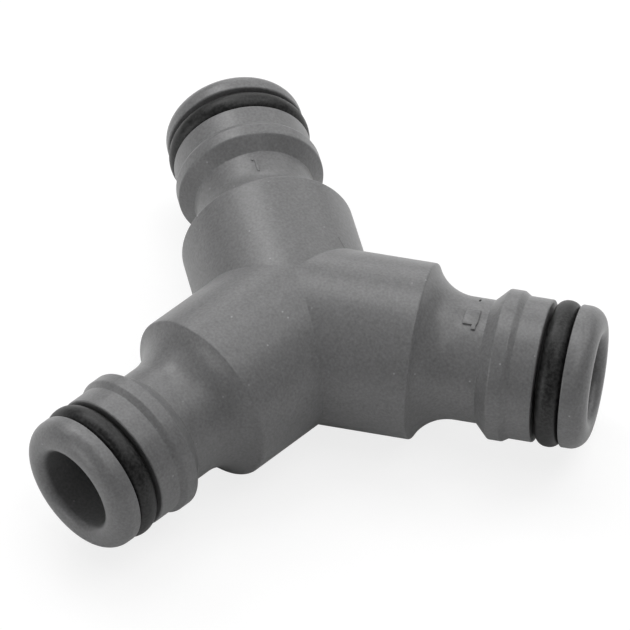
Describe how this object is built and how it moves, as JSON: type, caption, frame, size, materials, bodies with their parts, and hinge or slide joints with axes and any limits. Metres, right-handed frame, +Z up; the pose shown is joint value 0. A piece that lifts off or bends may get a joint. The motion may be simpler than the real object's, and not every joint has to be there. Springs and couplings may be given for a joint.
{
  "type": "hose tee connector",
  "caption": "Moulded Y-shaped coupler that joins garden hose quick connectors, with a sealing ring on each plug end and a water passage through all arms.",
  "frame": {"origin": "the point where the axes of the three arms cross; the centroid lies 0.4 mm from it, along +Y", "axes": "-Y out along the stem; the two branches point to +X+Y and -X+Y, each 58 degrees from +Y; +Z up, square to the plane of the arms, so the part lies on the undersides of its barrels"},
  "size_m": [0.0642, 0.0578, 0.0196],
  "materials": {
    "body": "moulded grey plastic, semi-matt with a very fine grain",
    "seal": "smooth black rubber, satin"
  },
  "bodies": {
    "root": {"body": "body", "stem_ring": "seal", "right_ring": "seal", "left_ring": "seal"}
  },
  "joints": []
}
